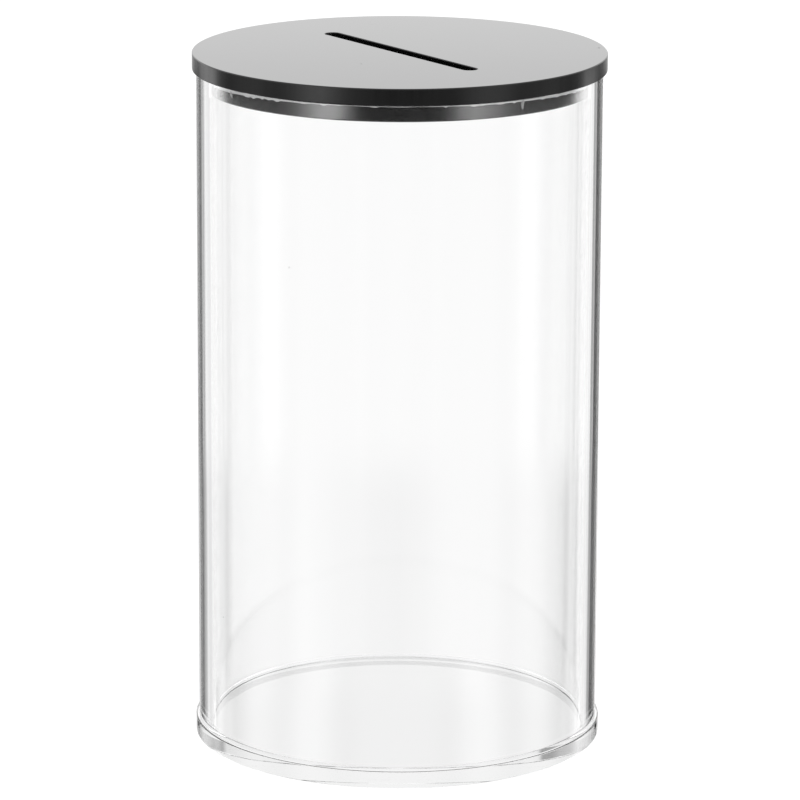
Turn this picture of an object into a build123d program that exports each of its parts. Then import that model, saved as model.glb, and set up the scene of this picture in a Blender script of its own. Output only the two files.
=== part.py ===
from build123d import *
import os

# Round coin and note collecting box.
# A clear acrylic tube is cemented upright on a clear acrylic base disc.
# A black acrylic lid disc with a long slot lies on the rim of the tube.
# A smaller black disc is cemented under the lid and drops inside the tube,
# so it keeps the lid centred; the whole lid lifts straight off for emptying.
#
# Millimetres, +Z up. Origin: centre of the base disc's underside.
# +X runs along the slot.

# ---------------------------------------------------------------- dimensions
sheet = 5.0                 # thickness of the base disc and the lid disc

base_dia = 121.8            # clear base disc, trimmed just proud of the tube
base_edge = 0.30            # polished round on its two edges

tube_od = 120.0             # clear cast tube, 120 x 4
tube_wall = 4.0
tube_len = 197.7
rim_break = 0.30            # deburred edges of the tube's upper rim

lid_dia = 122.4             # black lid disc
lid_edge = 0.30             # broken edges of the lid disc

insert_thk = 5.4            # black locating disc, with its cement film
insert_gap = 0.40           # radial play of the locating disc in the tube
insert_edge = 0.30          # lead-in on its lower edge

slot_len = 75.2             # overall, over both round ends
slot_wid = 4.8
slot_break = 0.20           # broken upper edge of the slot

lid_bead_r = 0.30           # clear cement squeezed out under the lid
lid_bead_z = 1.30

foot_bead = 0.30            # clear cement fillet at the foot of the tube

# ------------------------------------------------------------ derived values
tube_r = tube_od / 2
bore_r = tube_r - tube_wall
base_r = base_dia / 2
lid_r = lid_dia / 2
insert_r = bore_r - insert_gap

z_base = sheet                      # upper face of the base disc
z_rim = z_base + tube_len           # rim of the tube = underside of the lid
z_top = z_rim + sheet               # upper face of the lid
z_insert = z_rim - insert_thk       # lower face of the locating disc

os.makedirs("parts", exist_ok=True)


def ring_edges(shape, z):
    """Circular edges of a shape that lie at height z."""
    return [e for e in shape.edges().filter_by(GeomType.CIRCLE)
            if abs(e.center(CenterOf.MASS).Z - z) < 1e-4]


def slot_cutter(z0, z1, grow=0.0):
    """Upright bar with round ends, from z0 to z1."""
    with BuildPart() as bar:
        with BuildSketch(Plane.XY.offset(z0)):
            SlotOverall(slot_len + 2 * grow, slot_wid + 2 * grow)
        extrude(amount=z1 - z0)
    return bar.part


def revolved(points):
    """Solid of revolution about Z from a closed (radius, z) outline."""
    with BuildPart() as turned:
        with BuildSketch(Plane.XZ):
            with BuildLine():
                Polyline(*points, close=True)
            make_face()
        revolve(axis=Axis.Z)
    return turned.part


# ----------------------------------------------------------------- base disc
with BuildPart() as base:
    Cylinder(base_r, sheet, align=(Align.CENTER, Align.CENTER, Align.MIN))
    fillet(ring_edges(base.part, 0) + ring_edges(base.part, z_base), base_edge)
base_disc = base.part

# ---------------------------------------------------------------------- tube
tube = revolved([
    (bore_r, z_base),
    (tube_r, z_base),
    (tube_r, z_rim - rim_break),
    (tube_r - rim_break, z_rim),
    (bore_r + rim_break, z_rim),
    (bore_r, z_rim - rim_break),
])

# ------------------------------------- cement fillet inside the tube's foot
base_bond_fillet = revolved([
    (bore_r - foot_bead, z_base),
    (bore_r, z_base),
    (bore_r, z_base + foot_bead),
])

# ------------------------------------------------------------------ lid disc
with BuildPart() as lid:
    with Locations((0, 0, z_rim)):
        Cylinder(lid_r, sheet, align=(Align.CENTER, Align.CENTER, Align.MIN))
    fillet(ring_edges(lid.part, z_top) + ring_edges(lid.part, z_rim), lid_edge)
    add(slot_cutter(z_rim - 1, z_top + 1), mode=Mode.SUBTRACT)
    mouth = [e for e in lid.part.edges()
             if abs(e.center(CenterOf.MASS).Z - z_top) < 1e-4
             and abs(e.center(CenterOf.MASS).X) < slot_len / 2 + 0.1
             and abs(e.center(CenterOf.MASS).Y) < slot_wid / 2 + 0.1
             and e.length < 2 * slot_len]
    chamfer(mouth, slot_break)
lid_disc = lid.part

# ------------------------------------------------ locating disc under the lid
with BuildPart() as plug:
    with Locations((0, 0, z_insert)):
        Cylinder(insert_r, insert_thk,
                 align=(Align.CENTER, Align.CENTER, Align.MIN))
    chamfer(ring_edges(plug.part, z_insert), insert_edge)
    add(slot_cutter(z_insert - 1, z_rim + 1), mode=Mode.SUBTRACT)
lid_insert = plug.part

# -------------------------------- cement squeezed out round the locating disc
lid_bond_bead = revolved([
    (insert_r, z_rim - lid_bead_z),
    (insert_r + lid_bead_r, z_rim),
    (insert_r, z_rim),
])

nodes = {
    "base_disc": base_disc,
    "tube": tube,
    "base_bond_fillet": base_bond_fillet,
    "lid_disc": lid_disc,
    "lid_insert": lid_insert,
    "lid_bond_bead": lid_bond_bead,
}

for name, shape in nodes.items():
    solids = shape.solids()
    out = solids[0] if len(solids) == 1 else Compound(children=list(solids))
    out.label = name
    export_step(out, f"parts/{name}.step")
    bb = out.bounding_box()
    print(f"{name:18s} solids {len(solids)} volume {out.volume:10.2f} "
          f"z {bb.min.Z:7.2f} .. {bb.max.Z:7.2f}  dia {bb.size.X:7.2f} {bb.size.Y:7.2f}")
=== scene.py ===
import math
import random

import bmesh
import bpy
import numpy as np
from mathutils import Matrix, Vector


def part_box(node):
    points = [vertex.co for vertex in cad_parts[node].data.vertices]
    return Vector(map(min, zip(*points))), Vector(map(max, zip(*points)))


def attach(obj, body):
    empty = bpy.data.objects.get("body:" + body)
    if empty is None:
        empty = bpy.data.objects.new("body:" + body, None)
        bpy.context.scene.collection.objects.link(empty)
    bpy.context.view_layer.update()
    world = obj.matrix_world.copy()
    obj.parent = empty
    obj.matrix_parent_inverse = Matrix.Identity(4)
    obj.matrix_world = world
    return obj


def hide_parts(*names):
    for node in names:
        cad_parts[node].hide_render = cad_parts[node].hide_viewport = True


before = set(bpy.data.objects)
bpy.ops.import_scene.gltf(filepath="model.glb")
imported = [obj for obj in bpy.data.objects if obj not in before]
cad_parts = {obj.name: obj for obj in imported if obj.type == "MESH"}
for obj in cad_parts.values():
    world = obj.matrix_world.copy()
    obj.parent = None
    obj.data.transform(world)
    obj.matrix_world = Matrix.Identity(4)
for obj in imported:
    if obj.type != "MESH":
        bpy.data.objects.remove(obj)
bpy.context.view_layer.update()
rng = random.Random(11)
MM = 0.001

# ---------------------------------------------------------------------------
# Sizes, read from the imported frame
# ---------------------------------------------------------------------------


def polar(node):
    """Each vertex of a CAD node as (x, y, z, distance from the axis)."""
    co = np.array([v.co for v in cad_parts[node].data.vertices], float)
    return np.column_stack([co, np.hypot(co[:, 0], co[:, 1])])


base_lo, base_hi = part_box("base_disc")
tube_lo, tube_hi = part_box("tube")
lid_lo, lid_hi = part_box("lid_disc")
plug_lo, plug_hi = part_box("lid_insert")
foot_lo, foot_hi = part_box("base_bond_fillet")
bead_lo, bead_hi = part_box("lid_bond_bead")

R_base = polar("base_disc")[:, 3].max()
R_tube = polar("tube")[:, 3].max()
R_bore = polar("tube")[:, 3].min()
R_lid = polar("lid_disc")[:, 3].max()
R_plug = polar("lid_insert")[:, 3].max()
z_foot = base_hi.z                       # top of the base, foot of the tube
z_rim = tube_hi.z                        # rim of the tube, underside of the lid
z_top = lid_hi.z
z_plug = plug_lo.z

inner = polar("lid_insert")
inner = inner[inner[:, 3] < 0.8 * R_plug]
slot_a = np.abs(inner[:, 0]).max()       # half its length
slot_b = np.abs(inner[:, 1]).max()       # half its width

# The view the box is shown in: azimuth of the camera about the box.
VIEW_AZ = math.radians(55.19)
toward = Vector((math.sin(VIEW_AZ), -math.cos(VIEW_AZ), 0))     # to the camera
right = Vector((math.cos(VIEW_AZ), math.sin(VIEW_AZ), 0))
TOWARD = math.atan2(toward.y, toward.x)

# ---------------------------------------------------------------------------
# Node helpers
# ---------------------------------------------------------------------------


class Nodes:
    """Short names for building a node tree."""

    def __init__(self, tree):
        self.t = tree
        self.t.nodes.clear()

    def new(self, kind, **props):
        n = self.t.nodes.new(kind)
        for k, v in props.items():
            setattr(n, k, v)
        return n

    def put(self, socket, value):
        if value is None:
            return
        if isinstance(value, bpy.types.NodeSocket):
            self.t.links.new(value, socket)
        elif isinstance(value, (tuple, list)) and socket.type == "RGBA" and len(value) == 3:
            socket.default_value = (*value, 1)
        else:
            socket.default_value = value

    def math(self, op, a, b=None, c=None, clamp=False):
        n = self.new("ShaderNodeMath", operation=op, use_clamp=clamp)
        for s, v in zip(n.inputs, (a, b, c)):
            self.put(s, v)
        return n.outputs[0]

    def mix(self, f, a, b, kind="FLOAT"):
        n = self.new("ShaderNodeMix", data_type=kind)
        i = {"FLOAT": (0, 2, 3), "RGBA": (0, 6, 7)}[kind]
        for k, v in zip(i, (f, a, b)):
            self.put(n.inputs[k], v)
        return n.outputs[{"FLOAT": 0, "RGBA": 2}[kind]]

    def ramp(self, f, stops, interp="LINEAR"):
        n = self.new("ShaderNodeValToRGB")
        n.color_ramp.interpolation = interp
        e = n.color_ramp.elements
        while len(e) > 1:
            e.remove(e[-1])
        for i, (p, v) in enumerate(stops):
            s = e[0] if i == 0 else e.new(p)
            s.position = p
            s.color = (v, v, v, 1) if isinstance(v, (int, float)) else (*v, 1)
        self.put(n.inputs[0], f)
        return n.outputs[0]

    def smooth(self, x, lo, hi, a=0.0, b=1.0):
        n = self.new("ShaderNodeMapRange", interpolation_type="SMOOTHSTEP")
        for s, v in zip(n.inputs, (x, lo, hi, a, b)):
            self.put(s, v)
        return n.outputs[0]

    def line(self, x, lo, hi, a=0.0, b=1.0):
        n = self.new("ShaderNodeMapRange", interpolation_type="LINEAR")
        for s, v in zip(n.inputs, (x, lo, hi, a, b)):
            self.put(s, v)
        return n.outputs[0]

    def coords(self, scale=(1, 1, 1), offset=(0, 0, 0)):
        tc = self.new("ShaderNodeTexCoord")
        m = self.new("ShaderNodeMapping")
        self.put(m.inputs["Vector"], tc.outputs["Object"])
        self.put(m.inputs["Scale"], scale)
        self.put(m.inputs["Location"], offset)
        return m.outputs[0]

    def noise(self, vector, scale, detail=2.0, rough=0.5):
        n = self.new("ShaderNodeTexNoise")
        self.put(n.inputs["Vector"], vector)
        self.put(n.inputs["Scale"], scale)
        self.put(n.inputs["Detail"], detail)
        self.put(n.inputs["Roughness"], rough)
        return n.outputs["Fac"]

    def specks(self, vector, per_m, size, share):
        """1 on scattered round specks: cells per metre, radius as a share of the cell, and how many cells have one."""
        v = self.new("ShaderNodeTexVoronoi", feature="F1")
        self.put(v.inputs["Vector"], vector)
        self.put(v.inputs["Scale"], per_m)
        sep = self.new("ShaderNodeSeparateColor")
        self.put(sep.inputs[0], v.outputs["Color"])
        pick = self.math("GREATER_THAN", sep.outputs[0], 1 - share)
        r = self.math("MULTIPLY_ADD", sep.outputs[1], size * 0.7, size * 0.3)
        near = self.math("SUBTRACT", 1.0, self.math("DIVIDE", v.outputs["Distance"], r), clamp=True)
        soft = self.math("MULTIPLY", near, 3.0, clamp=True)
        return self.math("MULTIPLY", soft, pick)

    def bump(self, height, distance, strength=1.0, normal=None):
        n = self.new("ShaderNodeBump")
        self.put(n.inputs["Height"], height)
        self.put(n.inputs["Distance"], distance)
        self.put(n.inputs["Strength"], strength)
        self.put(n.inputs["Normal"], normal)
        return n.outputs[0]

    def out(self, shader):
        n = self.new("ShaderNodeOutputMaterial")
        self.t.links.new(shader, n.inputs[0])


def material(name):
    m = bpy.data.materials.new(name)
    m.use_nodes = True
    return m, Nodes(m.node_tree)


def principled(N, **values):
    n = N.new("ShaderNodeBsdfPrincipled")
    for k, v in values.items():
        N.put(n.inputs[k.replace("_", " ")], v)
    return n


# ---------------------------------------------------------------------------
# Materials
# ---------------------------------------------------------------------------


def clear_acrylic(name, drawn, seed):
    """Clear cast acrylic. drawn: faint lines along the tube from forming it."""
    m, N = material(name)
    o = N.coords(offset=(seed, 0, 0))
    dust = N.specks(o, 62, 0.028, 0.16)
    fleck = N.specks(N.coords(offset=(0, seed, 0.3)), 24, 0.016, 0.30)
    mark = N.math("MAXIMUM", dust, fleck)
    wipe = N.smooth(N.noise(N.coords((1, 1, 0.5), (seed, 3, 0)), 26, 3, 0.6), 0.55, 0.75)
    rough = N.math("MULTIPLY_ADD", wipe, 0.010, 0.0)
    rough = N.math("MULTIPLY_ADD", mark, 0.35, rough)
    tint = N.mix(N.noise(o, 9, 2), (0.999, 0.999, 0.999), (0.995, 0.996, 0.996), "RGBA")
    colour = N.mix(N.math("MULTIPLY", mark, 0.55), tint, (0.62, 0.62, 0.62), "RGBA")
    if drawn:
        lines = N.noise(N.coords((1, 1, 0.012), (seed, 0, 0)), 210, 2, 0.55)
        normal = N.bump(lines, 0.0000035)
    else:
        lines = N.noise(N.coords((1, 1, 0.4), (seed, 0, 0)), 120, 2, 0.5)
        normal = N.bump(lines, 0.0000030)
    normal = N.bump(mark, 0.00003, normal=normal)
    p = principled(N, Base_Color=colour, Roughness=rough, Normal=normal)
    p.inputs["IOR"].default_value = 1.49
    p.inputs["Transmission Weight"].default_value = 1.0
    N.out(p.outputs[0])
    return m


def clear_cut_edge(name, seed):
    """The same acrylic where it was sawn and only lightly polished."""
    m, N = material(name)
    saw = N.noise(N.coords((1, 1, 0.05), (seed, 0, 0)), 1500, 2, 0.6)
    blur = N.noise(N.coords((1, 1, 1), (seed, 0, 0)), 60, 2, 0.6)
    rough = N.line(blur, 0.3, 0.7, 0.03, 0.10)
    colour = N.mix(saw, (0.99, 0.99, 0.99), (0.95, 0.955, 0.955), "RGBA")
    p = principled(N, Base_Color=colour, Roughness=rough, Normal=N.bump(saw, 0.000006))
    p.inputs["IOR"].default_value = 1.49
    p.inputs["Transmission Weight"].default_value = 1.0
    N.out(p.outputs[0])
    return m


def weld():
    """Where two clear pieces are cemented into one: no surface, but for a few trapped bubbles."""
    m, N = material("clear_weld")
    o = N.coords()
    mask = N.math("MAXIMUM", N.specks(o, 150, 0.05, 0.05), N.math("MULTIPLY", N.specks(o, 420, 0.08, 0.03), 0.7))
    see = N.new("ShaderNodeBsdfTransparent")
    p = principled(N, Base_Color=(0.72, 0.73, 0.73), Roughness=0.25)
    mix = N.new("ShaderNodeMixShader")
    N.put(mix.inputs[0], mask)
    N.t.links.new(see.outputs[0], mix.inputs[1])
    N.t.links.new(p.outputs[0], mix.inputs[2])
    N.out(mix.outputs[0])
    return m


def cement(name, cloudy, seed, rough_lo=0.08, rough_hi=0.30, pale=0.88):
    """Clear cured cement, a little cloudy, with small bubbles."""
    m, N = material(name)
    o = N.coords(offset=(seed, 0, 0))
    cloud = N.noise(o, 240, 3, 0.6)
    bubble = N.specks(o, 900, 0.22, 0.35)
    rough = N.line(cloud, 0.3, 0.7, rough_lo, rough_hi)
    colour = N.mix(cloud, (pale - 0.08,) * 3, (pale + 0.08,) * 3, "RGBA")
    colour = N.mix(N.math("MULTIPLY", bubble, 0.6), colour, (0.45, 0.45, 0.45), "RGBA")
    p = principled(N, Base_Color=colour, Roughness=rough, Normal=N.bump(cloud, 0.00006))
    p.inputs["IOR"].default_value = 1.48
    p.inputs["Transmission Weight"].default_value = 1.0 - cloudy
    N.out(p.outputs[0])
    return m


def black_gloss(name, seed):
    """Black acrylic sheet as it comes, with hairline scratches and a little dust."""
    m, N = material(name)
    o = N.coords(offset=(seed, 0, 0))
    dust = N.math("MAXIMUM", N.specks(o, 70, 0.062, 0.22), N.specks(N.coords(offset=(0, seed, 0)), 190, 0.075, 0.06))
    hair = None
    for k, (turn, stretch) in enumerate(((0.5, 60), (2.0, 45), (2.9, 70))):
        tc = N.new("ShaderNodeTexCoord")
        mp = N.new("ShaderNodeMapping")
        N.put(mp.inputs["Vector"], tc.outputs["Object"])
        N.put(mp.inputs["Rotation"], (0, 0, turn))
        N.put(mp.inputs["Scale"], (1, stretch, 1))
        N.put(mp.inputs["Location"], (seed + k, k, 0))
        line = N.smooth(N.noise(mp.outputs[0], 22, 2, 0.5), 0.70, 0.74)
        hair = line if hair is None else N.math("MAXIMUM", hair, line)
    smear = N.smooth(N.noise(o, 30, 3, 0.6), 0.45, 0.75)
    rough = N.math("MULTIPLY_ADD", smear, 0.035, 0.030)
    rough = N.math("MULTIPLY_ADD", hair, 0.05, rough)
    rough = N.math("MAXIMUM", rough, N.math("MULTIPLY", dust, 0.8))
    colour = N.mix(N.noise(o, 120, 2), (0.0035, 0.0035, 0.0036), (0.0055, 0.0055, 0.0056), "RGBA")
    colour = N.mix(N.math("MULTIPLY", dust, 0.8), colour, (0.16, 0.16, 0.16), "RGBA")
    wave = N.noise(o, 14, 1, 0.4)
    normal = N.bump(wave, 0.000010)
    normal = N.bump(dust, 0.00003, normal=normal)
    p = principled(N, Base_Color=colour, Roughness=rough, Normal=normal)
    p.inputs["IOR"].default_value = 1.49
    N.out(p.outputs[0])
    return m


def black_cut_edge(name, seed, rough_lo, rough_hi):
    """The cut rim of the black sheet: satin, with fine saw lines across its thickness."""
    m, N = material(name)
    saw = N.noise(N.coords((1, 1, 0.03), (seed, 0, 0)), 900, 3, 0.65)
    broad = N.noise(N.coords((1, 1, 0.05), (seed, 2, 0)), 70, 2, 0.5)
    both = N.math("MULTIPLY_ADD", broad, 0.5, N.math("MULTIPLY", saw, 0.5))
    rough = N.line(both, 0.35, 0.65, rough_lo, rough_hi)
    nick = N.specks(N.coords(offset=(seed, 1, 0)), 260, 0.05, 0.06)
    colour = N.mix(saw, (0.002, 0.002, 0.002), (0.006, 0.006, 0.006), "RGBA")
    colour = N.mix(N.math("MULTIPLY", nick, 0.7), colour, (0.10, 0.10, 0.10), "RGBA")
    normal = N.bump(saw, 0.000012)
    normal = N.bump(nick, 0.00004, normal=normal)
    p = principled(N, Base_Color=colour, Roughness=rough, Normal=normal)
    p.inputs["IOR"].default_value = 1.49
    N.out(p.outputs[0])
    return m


tube_mat = clear_acrylic("tube_clear", True, 1.7)
base_mat = clear_acrylic("base_clear", False, 5.2)
rim_mat = clear_cut_edge("tube_rim_cut", 2.1)
weld_mat = weld()
foot_mat = cement("foot_cement", 0.0, 0.4, 0.01, 0.05)
bead_mat = cement("bead_cement", 0.90, 7.7, pale=0.56)
run_mat = cement("run_cement", 0.35, 2.9, pale=0.70)
top_mat = black_gloss("lid_black_gloss", 3.3)
edge_mat = black_cut_edge("lid_black_edge", 8.8, 0.08, 0.14)
plug_mat = black_gloss("plug_black_gloss", 6.1)
plug_edge_mat = black_cut_edge("plug_black_edge", 4.6, 0.04, 0.09)

# ---------------------------------------------------------------------------
# Mesh builders
# ---------------------------------------------------------------------------

SEG = 480


def finish_mesh(name, bm, mats, body, node, sharp=28):
    bmesh.ops.recalc_face_normals(bm, faces=bm.faces[:])
    if bm.calc_volume(signed=True) < 0:
        bmesh.ops.reverse_faces(bm, faces=bm.faces[:])
    me = bpy.data.meshes.new(name)
    bm.to_mesh(me)
    bm.free()
    for m in mats:
        me.materials.append(m)
    me.polygons.foreach_set("use_smooth", [True] * len(me.polygons))
    me.set_sharp_from_angle(angle=math.radians(sharp))
    ob = bpy.data.objects.new(name, me)
    bpy.context.scene.collection.objects.link(ob)
    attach(ob, body)
    if node:
        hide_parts(node)
    return ob


def arc(cx, cz, r, a0, a1, n):
    """Points of a round in the (radius, z) plane."""
    return [(cx + r * math.cos(math.radians(a0 + (a1 - a0) * i / n)),
             cz + r * math.sin(math.radians(a0 + (a1 - a0) * i / n))) for i in range(n + 1)]


def lathe(bm, profile, mat_of, closed, shift=None, seg=SEG):
    """Turns a profile of (radius, z) points. mat_of(i) is the material of the band after point i. shift(i, angle) moves a point."""
    rings = []
    for i, (r, z) in enumerate(profile):
        if r < 1e-9:
            rings.append([bm.verts.new((0, 0, z))])
            continue
        ring = []
        for k in range(seg):
            a = 2 * math.pi * k / seg
            rr, zz = (r, z) if shift is None else shift(i, a)
            ring.append(bm.verts.new((rr * math.cos(a), rr * math.sin(a), zz)))
        rings.append(ring)
    n = len(rings)
    for i in range(n if closed else n - 1):
        a, b = rings[i], rings[(i + 1) % n]
        for k in range(seg):
            j = (k + 1) % seg
            if len(a) == 1:
                f = bm.faces.new((a[0], b[k], b[j]))
            elif len(b) == 1:
                f = bm.faces.new((a[k], a[j], b[0]))
            else:
                f = bm.faces.new((a[k], a[j], b[j], b[k]))
            f.material_index = mat_of(i)
    return rings


def stadium(a, b, n):
    """Outline of a slot: half length a, half width b, n steps on each round end and matching steps along its sides."""
    pts = []
    for i in range(n + 1):
        t = -math.pi / 2 + math.pi * i / n
        pts.append((a - b + b * math.cos(t), b * math.sin(t)))
    steps = 24
    for i in range(1, steps):
        pts.append(((a - b) * (1 - 2 * i / steps), b))
    for i in range(n + 1):
        t = math.pi / 2 + math.pi * i / n
        pts.append((-(a - b) + b * math.cos(t), b * math.sin(t)))
    for i in range(1, steps):
        pts.append(((a - b) * (-1 + 2 * i / steps), -b))
    return pts


def loop(bm, pts, z):
    return [bm.verts.new((x, y, z)) for x, y in pts]


def bridge(bm, a, b, mat):
    n = len(a)
    for k in range(n):
        j = (k + 1) % n
        f = bm.faces.new((a[k], a[j], b[j], b[k]))
        f.material_index = mat


def fill_between(bm, outer, inner, mat):
    """Flat face between two loops."""
    edges = []
    for lp in (outer, inner):
        for k in range(len(lp)):
            e = bm.edges.get((lp[k], lp[(k + 1) % len(lp)]))
            edges.append(e or bm.edges.new((lp[k], lp[(k + 1) % len(lp)])))
    res = bmesh.ops.triangle_fill(bm, use_beauty=True, use_dissolve=False, edges=edges)
    for f in res["geom"]:
        if isinstance(f, bmesh.types.BMFace):
            f.material_index = mat


# ------------------------------------------------------------------ base disc
e = 0.30 * MM
z0 = base_lo.z
r_in = polar("base_bond_fillet")[:, 3].min()
hair = 0.02 * MM
eb = 0.15 * MM
prof = [(0, z0), (0.5 * R_base, z0), (R_base - eb - hair, z0)]
prof += arc(R_base - eb, z0 + eb, eb, -90, 0, 6)
prof += [(R_base, z0 + eb + hair), (R_base, z_foot - e - hair)]
prof += arc(R_base - e, z_foot - e, e, 0, 90, 6)
prof += [(R_base - e - hair, z_foot)]
i_tube = len(prof)
prof += [(R_tube, z_foot), (R_bore, z_foot), (r_in, z_foot), (0.5 * R_base, z_foot), (0, z_foot)]
bm = bmesh.new()
lathe(bm, prof, lambda i: 1 if i in (i_tube, i_tube + 1) else (2 if 2 < i < i_tube - 2 else 0), False)
base_ob = finish_mesh("base_disc_clear", bm, [base_mat, weld_mat, base_mat], "vessel", "base_disc")

# ----------------------------------------------------------------------- tube
c = 0.30 * MM
z_fil = foot_hi.z
lift = 0.02 * MM                        # the lid rests on the rim: a hair apart so neither face hides the other
prof = [(R_bore, z_foot), (R_tube, z_foot), (R_tube, z_foot + 1 * MM), (R_tube, z_rim - c - lift),
        (R_tube - c, z_rim - lift), (R_bore + c, z_rim - lift), (R_bore, z_rim - c - lift), (R_bore, z_foot + 1 * MM), (R_bore, z_fil)]
kinds = {0: 1, 3: 2, 4: 2, 5: 2, 8: 1}
bm = bmesh.new()
lathe(bm, prof, lambda i: kinds.get(i, 0), True)
tube_ob = finish_mesh("tube_clear", bm, [tube_mat, weld_mat, rim_mat], "vessel", "tube")

# -------------------------------------------- cement fillet at the tube's foot
leg = R_bore - r_in
prof = [(r_in, z_foot), (R_bore, z_foot), (R_bore, z_fil)]
for k in (1, 2, 3, 4):
    t = k / 5
    # a hollow curve from the wall down to the disc
    px = R_bore - leg * t
    pz = z_fil - leg * t
    prof.append((px, pz))
phase = [rng.uniform(0, 6.28) for _ in range(6)]


def foot_shift(i, a):
    r, z = prof[i]
    if i < 3:
        return r, z
    t = (i - 2) / 5
    hollow = leg * 0.62 * math.sin(math.pi * t)
    hollow *= 0.55 + 0.20 * math.sin(3 * a + phase[0]) + 0.15 * math.sin(7 * a + phase[1]) + 0.10 * math.sin(19 * a + phase[2])
    return r + hollow * 0.707, z - hollow * 0.707


bm = bmesh.new()
lathe(bm, prof, lambda i: 1 if i in (0, 1) else 0, True, foot_shift)
foot_ob = finish_mesh("base_bond_cement", bm, [foot_mat, weld_mat], "vessel", "base_bond_fillet", sharp=60)

# ------------------------------------------------------------------- lid disc
e = 0.30 * MM
cut = 0.20 * MM
bm = bmesh.new()
prof = [(R_lid - e - hair, z_rim)] + arc(R_lid - e, z_rim + e, e, -90, 0, 6) + [(R_lid, z_rim + e + hair), (R_lid, z_top - e - hair)]
prof += arc(R_lid - e, z_top - e, e, 0, 90, 6) + [(R_lid - e - hair, z_top)]
rings = lathe(bm, prof, lambda i: 0 if i in (0, len(prof) - 2) else 1, False)
wide = stadium(slot_a + cut, slot_b + cut, 20)
thin = stadium(slot_a, slot_b, 20)
s_top = loop(bm, wide, z_top)
s_cut = loop(bm, thin, z_top - cut)
s_bot = loop(bm, thin, z_rim)
bridge(bm, s_top, s_cut, 1)
bridge(bm, s_cut, s_bot, 1)
fill_between(bm, rings[-1], s_top, 0)
fill_between(bm, rings[0], s_bot, 0)
lid_ob = finish_mesh("lid_disc_black", bm, [top_mat, edge_mat], "lid", "lid_disc", sharp=32)

# ------------------------------------------------- locating disc under the lid
e = 0.30 * MM
bm = bmesh.new()
prof = [(R_plug - e, z_plug), (R_plug, z_plug + e), (R_plug, z_plug + 2 * e), (R_plug, z_rim)]
rings = lathe(bm, prof, lambda i: 1, False)
s_bot = loop(bm, thin, z_plug)
s_top = loop(bm, thin, z_rim)
bridge(bm, s_bot, s_top, 1)
fill_between(bm, rings[-1], s_top, 0)
fill_between(bm, rings[0], s_bot, 0)
plug_ob = finish_mesh("lid_insert_black", bm, [plug_mat, plug_edge_mat], "lid", "lid_insert", sharp=32)

# ---------------------------------- cement squeezed out round the locating disc
bead_r = bead_hi.x - R_plug
bead_z = z_rim - bead_lo.z
ph = [rng.uniform(0, 6.28) for _ in range(8)]
blobs = [(rng.uniform(0, 2 * math.pi), rng.uniform(0.006, 0.02), rng.uniform(0.08, 0.25)) for _ in range(40)]
blobs += [(TOWARD - math.radians(d), w, h) for d, w, h in ((50.5, 0.010, 0.20), (47.0, 0.016, 0.22), (43.5, 0.009, 0.26), (41.0, 0.013, 0.16),
                                                           (37.5, 0.010, 0.22), (-52.0, 0.014, 0.16), (-30.0, 0.012, 0.14))]


def swell(a):
    v = 0.76 + 0.93 * math.sin(a - TOWARD) ** 2 + 0.03 * math.sin(5 * a + ph[1]) + 0.03 * math.sin(13 * a + ph[2]) + 0.02 * math.sin(37 * a + ph[3])
    for c0, w, h in blobs:
        d = (a - c0 + math.pi) % (2 * math.pi) - math.pi
        v += h * math.exp(-((d / w) ** 2))
    return min(v, 1.62)


prof = [(R_plug - 0.03 * MM, z_rim + 0.0), (R_plug + bead_r, z_rim), (R_plug + bead_r * 0.8, z_rim - 0.35 * bead_z),
        (R_plug + bead_r * 0.45, z_rim - 0.72 * bead_z), (R_plug, z_rim - bead_z), (R_plug - 0.03 * MM, z_rim - bead_z)]


def bead_shift(i, a):
    r, z = prof[i]
    s = swell(a)
    if i in (0, 5):
        return r, z_rim - (z_rim - z) * s
    return R_plug + (r - R_plug) * min(s, 1.0), z_rim - (z_rim - z) * s


bm = bmesh.new()
lathe(bm, prof, lambda i: 0, True, bead_shift, seg=1440)


def run(bm, angle, length, width, thick):
    """A thin run of cement down the side of the locating disc."""
    rows, cols = 14, 8
    outer, back, faces = [], [], []
    for i in range(rows + 1):
        v = i / rows
        w = width * (0.75 + 0.35 * math.sin(3.0 * v + angle)) * (1 - 0.55 * v ** 3)
        mid = angle + 0.12 * width / R_plug * math.sin(6 * v + angle * 3)
        o, bk = [], []
        for j in range(cols + 1):
            u = 2 * j / cols - 1
            a = mid + u * w / 2 / R_plug
            h = thick * math.sqrt(max(0.0, 1 - u * u)) * (1 - 0.35 * v) * (1 if i < rows else 0.25)
            z = z_rim - 0.1 * MM - length * v
            o.append(bm.verts.new(((R_plug + 0.005 * MM + h) * math.cos(a), (R_plug + 0.005 * MM + h) * math.sin(a), z)))
            bk.append(bm.verts.new(((R_plug - 0.03 * MM) * math.cos(a), (R_plug - 0.03 * MM) * math.sin(a), z)))
        outer.append(o)
        back.append(bk)
    for i in range(rows):
        for j in range(cols):
            faces.append(bm.faces.new((outer[i][j], outer[i][j + 1], outer[i + 1][j + 1], outer[i + 1][j])))
            faces.append(bm.faces.new((back[i][j], back[i + 1][j], back[i + 1][j + 1], back[i][j + 1])))
        for j, s in ((0, 0), (cols, 1)):
            faces.append(bm.faces.new((outer[i][j], outer[i + 1][j], back[i + 1][j], back[i][j])))
    for i in (0, rows):
        for j in range(cols):
            faces.append(bm.faces.new((outer[i][j], outer[i][j + 1], back[i][j + 1], back[i][j])))
    for f in faces:
        f.material_index = 1


run(bm, TOWARD - math.radians(57.3), 3.2 * MM, 1.3 * MM, 0.16 * MM)
run(bm, TOWARD + math.radians(38.0), 3.6 * MM, 1.1 * MM, 0.16 * MM)
bead_ob = finish_mesh("lid_bond_cement", bm, [bead_mat, run_mat], "lid", "lid_bond_bead", sharp=50)

# ---------------------------------------------------------------------------
# Floor, studio and camera
# ---------------------------------------------------------------------------


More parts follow.
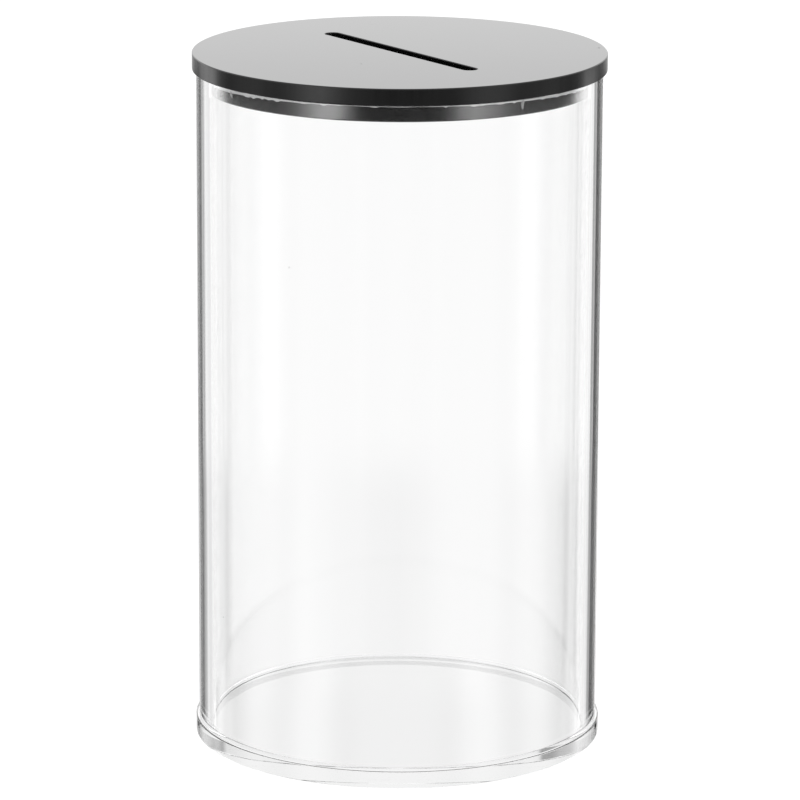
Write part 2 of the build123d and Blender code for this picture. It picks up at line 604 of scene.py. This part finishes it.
def plane(name, size, z):
    me = bpy.data.meshes.new(name)
    s = size / 2
    me.from_pydata([(-s, -s, z), (s, -s, z), (s, s, z), (-s, s, z)], [], [(0, 1, 2, 3)])
    ob = bpy.data.objects.new(name, me)
    bpy.context.scene.collection.objects.link(ob)
    return ob


floor = plane("floor", 14.0, base_lo.z - 0.0003)
m, N = material("floor_white")
d = N.new("ShaderNodeBsdfDiffuse")
N.put(d.inputs[0], N.mix(N.noise(N.coords(), 3, 2), (0.10, 0.10, 0.10), (0.12, 0.12, 0.12), "RGBA"))
g = N.new("ShaderNodeEmission")
N.put(g.inputs[0], (1, 1, 1))
N.put(g.inputs[1], 1.0)
add = N.new("ShaderNodeAddShader")
N.t.links.new(d.outputs[0], add.inputs[0])
N.t.links.new(g.outputs[0], add.inputs[1])
N.out(add.outputs[0])
floor.data.materials.append(m)
floor.visible_glossy = False
floor.visible_transmission = False

world = bpy.data.worlds.new("studio")
bpy.context.scene.world = world
world.use_nodes = True
world.cycles.sampling_method = "NONE"
W = Nodes(world.node_tree)
tc = W.new("ShaderNodeTexCoord")
turn = W.new("ShaderNodeVectorRotate", rotation_type="Z_AXIS")
W.put(turn.inputs["Vector"], tc.outputs["Generated"])
# +X of the studio is straight away from the camera, +Y to the camera's left
away = TOWARD + math.pi
W.put(turn.inputs["Angle"], -away)
sep = W.new("ShaderNodeSeparateXYZ")
W.put(sep.inputs[0], turn.outputs[0])
az = W.math("MULTIPLY", W.math("ARCTAN2", sep.outputs[1], sep.outputs[0]), 180 / math.pi)
el = W.math("MULTIPLY", W.math("ARCSINE", sep.outputs[2]), 180 / math.pi)
az01 = W.line(az, -180, 180)
el01 = W.line(el, -90, 90)


def az_stops(pairs):
    return [((a + 180) / 360, v) for a, v in pairs]


def el_stops(pairs):
    return [((a + 90) / 180, v) for a, v in pairs]


def around(right_side, left_side):
    """Value against azimuth: one table for the right (-180 to 0 degrees), one for the left (0 to 180)."""
    r = W.ramp(W.line(az, -180, 0), [((x + 180) / 180, v) for x, v in right_side])
    l = W.ramp(W.line(az, 0, 180), [(x / 180, v) for x, v in left_side])
    return W.mix(W.math("GREATER_THAN", az, 0.0), r, l)


# The white sweep behind the box, the dark gaps beside it and the soft boxes further round, as seen through the
# clear wall (behind) and in its outer face (glance), a little below the horizon and further down.
behind_hi = around(
    [(-112, 0.95), (-90, 1.94), (-84, 2.03), (-81, 2.19), (-46.5, 2.20), (-45, 2.14), (-43.5, 1.75), (-42, 1.59),
     (-40.5, 1.31), (-39, 1.29), (-37.5, 0.97), (-36, 1.02), (-34.5, 1.16), (-33, 1.01), (-31.5, 1.14), (-30, 1.17),
     (-28.5, 0.61), (-24, 0.74), (-22.5, 0.12), (-21, 0.14), (-19.5, 0.04), (-18, 0.01), (-16.5, 0.00), (-15, 0.22),
     (-13.5, 0.04), (-12, 0.44), (-9, 0.46), (-6, 0.72), (-4.5, 0.99), (0, 1.00)],
    [(0, 1.00), (4.5, 1.00), (6, 0.75), (9, 0.45), (10.5, 0.36), (12, 0.42), (13.5, 0.27), (15, 0.37), (16.5, 0.12),
     (18, 0.05), (19.5, 0.35), (21, 0.41), (22.5, 0.87), (24, 0.69), (25.5, 0.72), (27, 1.14), (28.5, 1.01), (30, 1.18),
     (31.5, 1.01), (33, 1.01), (34.5, 0.85), (37.5, 0.89), (39, 1.21), (40.5, 1.37), (42, 1.29), (43.5, 1.52), (46.5, 2.20),
     (84, 2.20), (87, 2.13), (90, 1.95), (112, 0.95)])
behind_lo = around(
    [(-112, 0.95), (-90, 1.66), (-82.5, 1.69), (-73.5, 1.98), (-70.5, 1.92), (-66, 2.19), (-60, 2.14), (-57, 2.20),
     (-52.5, 2.06), (-46.5, 2.04), (-45, 1.96), (-43.5, 1.64), (-39, 1.15), (-37.5, 0.91), (-36, 0.94), (-34.5, 1.08),
     (-33, 0.89), (-31.5, 1.11), (-28.5, 0.55), (-25.5, 0.54), (-24, 0.21), (-21, 0.09), (-18, 0.09), (-16.5, 0.00),
     (-15, 0.25), (-12, 0.41), (-10.5, 0.27), (-6, 0.83), (-4.5, 0.96), (-1.5, 0.99), (0, 0.92)],
    [(0, 0.92), (3, 1.00), (4.5, 0.95), (7.5, 0.67), (9, 0.61), (12, 0.30), (13.5, 0.39), (15, 0.35), (18, 0.22),
     (19.5, 0.00), (21, 0.18), (22.5, 0.18), (24, 0.44), (27, 0.58), (28.5, 0.73), (30, 0.99), (31.5, 1.03), (33, 0.87),
     (36, 0.77), (37.5, 0.83), (39, 1.12), (42, 1.45), (45, 1.97), (49.5, 2.20), (54, 2.12), (55.5, 2.20), (66, 1.63),
     (70.5, 1.52), (76.5, 1.55), (79.5, 1.44), (90, 1.49), (112, 0.95)])
glance_hi = around(
    [(-112, 0.45), (-90, 1.64), (-87, 1.72), (-81, 2.18), (-73.5, 2.20), (-70.5, 2.16), (-66, 2.20), (-64.5, 2.19),
     (-63, 2.12), (-61.5, 2.12), (-58.5, 2.20), (-52.5, 2.20), (-49.5, 1.42), (-48, 1.17), (-46.5, 0.99), (-43.5, 0.72),
     (-40.5, 0.55), (-39, 0.36), (-37.5, 0.45), (-36, 0.02), (-34.5, 0.00), (-33, 0.00), (-31.5, 0.17), (-30, 0.00),
     (-18, 0.02), (-13.5, 0.00), (-12, 0.37), (-10.5, 0.85), (-9, 1.07), (-6, 0.94), (-4.5, 1.22), (0, 1.01)],
    [(0, 1.01), (4.5, 0.78), (6, 0.59), (10.5, 0.63), (12, 0.55), (13.5, 0.15), (15, 0.04), (16.5, 0.17), (19.5, 0.00),
     (27, 0.00), (28.5, 0.04), (30, 0.18), (31.5, 0.00), (33, 0.00), (34.5, 0.17), (36, 0.43), (43.5, 0.59), (46.5, 0.81),
     (48, 0.85), (49.5, 1.08), (51, 1.51), (52.5, 2.10), (54, 2.20), (63, 2.20), (67.5, 2.13), (70.5, 2.20), (75, 2.15),
     (78, 2.20), (85.5, 1.65), (90, 1.58), (112, 0.45)])
glance_lo = around(
    [(-112, 0.45), (-90, 1.38), (-84, 1.40), (-79.5, 1.65), (-76.5, 1.75), (-70.5, 2.20), (-69, 2.20), (-66, 2.11),
     (-63, 2.12), (-57, 1.83), (-52.5, 1.70), (-43.5, 0.78), (-39, 0.55), (-34.5, 0.16), (-33, 0.25), (-30, 0.00),
     (-28.5, 0.06), (-27, 0.00), (-24, 0.00), (-22.5, 0.06), (-21, 0.00), (-15, 0.01), (-13.5, 0.84), (-12, 1.08),
     (-10.5, 1.01), (-7.5, 0.46), (-6, 0.28), (-4.5, 0.50), (0, 0.62)],
    [(0, 0.62), (4.5, 0.67), (6, 0.48), (10.5, 0.75), (13.5, 0.42), (15, 0.54), (16.5, 0.51), (18, 0.02), (22.5, 0.00),
     (25.5, 0.13), (27, 0.14), (28.5, 0.29), (30, 0.34), (31.5, 0.52), (34.5, 0.69), (36, 0.60), (37.5, 0.80), (39, 0.72),
     (43.5, 0.79), (49.5, 1.16), (51, 1.33), (55.5, 1.74), (57, 1.84), (60, 1.87), (61.5, 1.97), (64.5, 1.74), (67.5, 1.57),
     (76.5, 1.22), (78, 1.23), (84, 1.05), (90, 1.07), (112, 0.45)])

# Level with the underside of the lid the windows behind the camera show as two upright bands.
bands = around(
    [(-180, 0.05), (-163, 0.07), (-158, 0.18), (-154, 0.36), (-149, 0.85), (-145, 1.6), (-140, 2.1), (-135, 2.4), (-130, 2.05), (-125, 1.7),
     (-120, 1.3), (-115, 0.92), (-110, 0.66), (-104, 0.40), (-98, 0.20), (-90, 0.08), (-72, 0.05), (-64, 0.14), (-54, 0.9), (-43, 1.5)],
    [(43, 1.8), (51, 1.45), (61, 0.50), (67, 0.18), (73, 0.08), (84, 0.10), (103, 0.26), (109, 0.45), (114, 0.66), (119, 1.0), (124, 1.6), (129, 2.4),
     (134, 3.1), (139, 3.3), (143, 3.0), (148, 1.8), (153, 0.72), (157, 0.26), (163, 0.09), (180, 0.05)])
rim_bands = around(
    [(-180, 0.10), (-168, 0.14), (-160, 0.22), (-150, 0.40), (-142, 0.50), (-132, 0.62), (-120, 0.76), (-106, 0.50), (-95, 0.36), (-80, 0.32),
     (-60, 0.38), (-49, 0.44), (-37, 0.36), (-20, 0.5), (0, 0.6)],
    [(0, 0.6), (20, 0.5), (31, 0.5), (38, 1.0), (46, 1.35), (56, 1.0), (63, 0.50), (73, 0.34), (87, 0.42), (99, 0.50), (110, 0.60), (120, 0.85),
     (130, 1.4), (136, 1.65), (143, 1.25), (150, 0.90), (158, 0.45), (166, 0.18), (180, 0.10)])
# Well above the horizon: the lit ceiling, seen through the base disc.
above = around([(-180, 0.9), (-75, 0.9), (-40, 0.90), (0, 0.92)], [(0, 0.92), (40, 0.90), (75, 0.9), (180, 0.9)])
# Steeply down: the near table, with the two flags that show at the ends of the base disc.
below = around(
    [(-180, 0.9), (-78, 0.86), (-63, 0.62), (-58, 0.40), (-50, 0.36), (-47, 0.80), (-34, 0.87), (-4, 0.92), (-2.8, 0.93), (-1.9, 0.99), (-1.0, 0.92), (0, 0.92)],
    [(0, 0.92), (1.2, 0.92), (2.2, 0.99), (3.2, 0.93), (31, 0.88), (33.5, 0.82), (35, 0.32), (39, 0.33), (43, 0.52), (50, 0.60), (62, 0.75), (78, 0.86), (180, 0.9)])

upper = W.smooth(el, -15.3, -14.3)        # which of the two heights a ray meets
path = W.new("ShaderNodeLightPath")
depth = path.outputs["Ray Depth"]
turned = W.math("SUBTRACT", 1.0, W.math("MODULO", depth, 2.0))                          # 1 where the light was mirrored on its way
in_wall = W.math("LESS_THAN", W.math("ABSOLUTE", W.math("SUBTRACT", depth, 4.0)), 0.5)   # mirrored once, inside the wall
off_disc = W.math("SUBTRACT", turned, in_wall)                                           # mirrored by what is in the tube
round_az = W.math("ABSOLUTE", az)
aside = W.math("GREATER_THAN", round_az, 43.0)
height = W.math("SUBTRACT", 1.0, W.smooth(el, -10.45, -9.3))


def down_to(pairs, soft=0.012):
    """1 above an edge that runs down as it goes round (degrees below the horizon)."""
    lower = W.math("MULTIPLY", W.ramp(W.line(round_az, 0, 180), [(x / 180, v / 20) for x, v in pairs]), -20.0)
    return W.smooth(W.math("SUBTRACT", el, lower), -soft, soft)


level_g = W.math("MULTIPLY", aside, down_to([(49, 10.63), (62, 10.675), (78, 10.73), (95, 10.788), (110, 10.824), (135, 10.868), (180, 10.908)]))
level_t = W.math("MULTIPLY", W.math("MULTIPLY", aside, height),
                 down_to([(37, 10.63), (54, 10.675), (71, 10.73), (90, 10.788), (106, 10.824), (132, 10.868), (180, 10.908)]))
rim_level = down_to([(30, 10.40), (49, 10.46), (62, 10.51), (80, 10.56), (110, 10.64), (135, 10.68), (180, 10.72)])    # level with the lid's own rim
behind = W.mix(upper, behind_lo, behind_hi)
# the room straight through the box: the sweep behind, lit a little more at its sides, and an even pale wall all round
lift_hi = W.ramp(W.line(round_az, 0, 20), [(x / 20, (v + 0.1) / 0.6) for x, v in (
    (0, 0.018), (0.4, 0.018), (0.7, 0.014), (0.9, 0.025), (1.2, 0.042), (1.5, 0.044), (1.8, 0.019), (2.0, 0.0), (2.4, -0.016), (2.8, 0.0),
    (3.1, 0.015), (3.5, 0.024), (3.9, 0.028), (4.4, 0.032), (4.9, 0.038), (5.4, 0.055), (6.0, 0.095), (6.6, 0.165), (7.2, 0.26), (8.0, 0.36),
    (8.6, 0.41), (9.5, 0.46), (10.3, 0.48), (11.2, 0.48), (12.0, 0.44), (13.2, 0.35), (15, 0.20), (17, 0.07), (19, 0.0), (20, 0.0))])
lift_lo = W.ramp(W.line(round_az, 0, 20), [(x / 20, (v + 0.1) / 0.6) for x, v in (
    (0, 0.018), (0.4, 0.018), (0.7, 0.014), (0.9, 0.025), (1.2, 0.042), (1.5, 0.044), (1.8, 0.019), (2.0, 0.0), (2.4, -0.016), (2.8, 0.0),
    (3.1, 0.015), (3.5, 0.022), (3.9, 0.022), (4.4, 0.020), (4.9, 0.018), (5.4, 0.03), (6.0, 0.06), (6.6, 0.105), (7.2, 0.155), (8.0, 0.22),
    (8.6, 0.25), (9.5, 0.33), (10.3, 0.35), (11.2, 0.36), (12.0, 0.30), (13.2, 0.19), (15, 0.08), (17, 0.015), (19, 0.0), (20, 0.0))])
lift = W.math("SUBTRACT", W.math("MULTIPLY", W.mix(upper, lift_lo, lift_hi), 0.6), 0.1)
plain = W.mix(W.smooth(round_az, 44.0, 50.0), W.math("ADD", behind, lift), 0.95)
# the room mirrored in the wall: narrow dark gaps between pale panels all round, which draw the tube's sides
panels = W.ramp(W.line(round_az, 0, 180), [(x / 180, v) for x, v in (
    (50, 0.95), (58, 0.70), (64, 0.30), (69, 0.14), (73, 0.18), (79, 0.45), (86, 0.80), (94, 0.80), (101, 0.45), (107, 0.18), (111, 0.14),
    (116, 0.30), (123, 0.70), (130, 0.90), (138, 0.70), (144, 0.30), (149, 0.14), (153, 0.18), (159, 0.38), (167, 0.45), (180, 0.45))])
beside = W.smooth(round_az, 52.0, 62.0)
behind = W.mix(turned, plain, W.mix(W.math("MULTIPLY", in_wall, beside), behind, panels))
# rays mirrored in the wall keep the darker gaps a little further down
narrow = W.math("MULTIPLY", turned, W.math("SUBTRACT", 1.0, aside))
lower_edge = W.mix(narrow, W.smooth(el, -17.7, -17.0), W.smooth(el, -19.5, -18.5))
behind = W.mix(W.math("MAXIMUM", lower_edge, W.math("MULTIPLY", in_wall, W.smooth(round_az, 60.0, 66.0))), below, behind)
level_t = W.math("MULTIPLY", level_t, W.math("MAXIMUM", off_disc, W.math("MULTIPLY", in_wall, W.math("GREATER_THAN", round_az, 62.0))))
behind = W.mix(level_t, behind, bands)
up_there = W.smooth(el, 4.0, 8.0)
through = W.mix(up_there, behind, above)
glance = W.mix(beside, W.mix(upper, glance_lo, glance_hi), panels)
glance = W.mix(level_g, glance, bands)
glance = W.mix(rim_level, glance, rim_bands)
through_v = W.ramp(el01, el_stops([(-90, 0.95), (-40, 0.95), (-20, 1.0), (0, 1.0), (90, 1.0)]))
steep = W.smooth(el, -40.0, -30.0, 1.0, 0.0)
through = W.math("MULTIPLY", through_v, W.mix(steep, through, 1.0))

mirror_v = W.ramp(el01, el_stops([(-90, 0.9), (-30, 0.9), (-18, 1.0), (0, 1.0), (8, 1.75), (9.6, 1.54), (10.6, 1.42), (14, 1.2), (25, 1.0), (90, 1.0)]))
low = W.smooth(el, -2.0, 4.0, 1.0, 0.0)
mirror = W.math("MULTIPLY", mirror_v, W.mix(low, 1.0, glance))

value = W.mix(path.outputs["Is Glossy Ray"], 1.0, mirror)
# a ray that went through something clear counts as glossy too, so this comes second
value = W.mix(path.outputs["Is Transmission Ray"], value, through)
value = W.mix(path.outputs["Is Camera Ray"], value, 1.1)
bg = W.new("ShaderNodeBackground")
W.put(bg.inputs[0], (1, 1, 1))
W.put(bg.inputs[1], value)
wo = W.new("ShaderNodeOutputWorld")
W.t.links.new(bg.outputs[0], wo.inputs[0])

# ----------------------------------------------------------------- the camera
PITCH, ROLL, DIST = math.radians(14.051), math.radians(0.238), 1.5147
aim = Vector((0, 0, z_top - 0.10585)) + right * 0.00046
fwd = -toward * math.cos(PITCH) + Vector((0, 0, -math.sin(PITCH)))
up = right.cross(fwd)
r2 = right * math.cos(ROLL) + up * math.sin(ROLL)
u2 = up * math.cos(ROLL) - right * math.sin(ROLL)
cam_data = bpy.data.cameras.new("camera")
cam_data.sensor_width = 36.0
cam_data.lens = 5061.2 / 800 * 36.0
cam_data.clip_start, cam_data.clip_end = 0.05, 50
cam = bpy.data.objects.new("camera", cam_data)
bpy.context.scene.collection.objects.link(cam)
rot = Matrix((r2, u2, -fwd)).transposed().to_4x4()
cam.matrix_world = Matrix.Translation(aim - fwd * DIST) @ rot
bpy.context.scene.camera = cam

sc = bpy.context.scene
sc.view_settings.view_transform = "Standard"
sc.view_settings.look = "None"
sc.view_settings.exposure = 0.0
sc.view_settings.gamma = 1.0
sc.cycles.max_bounces = 40
sc.cycles.transmission_bounces = 40
sc.cycles.glossy_bounces = 12
sc.cycles.diffuse_bounces = 4
sc.cycles.transparent_max_bounces = 24
sc.cycles.caustics_reflective = True
sc.cycles.caustics_refractive = True
sc.cycles.blur_glossy = 0.0
sc.cycles.use_denoising = True

bpy.context.view_layer.update()
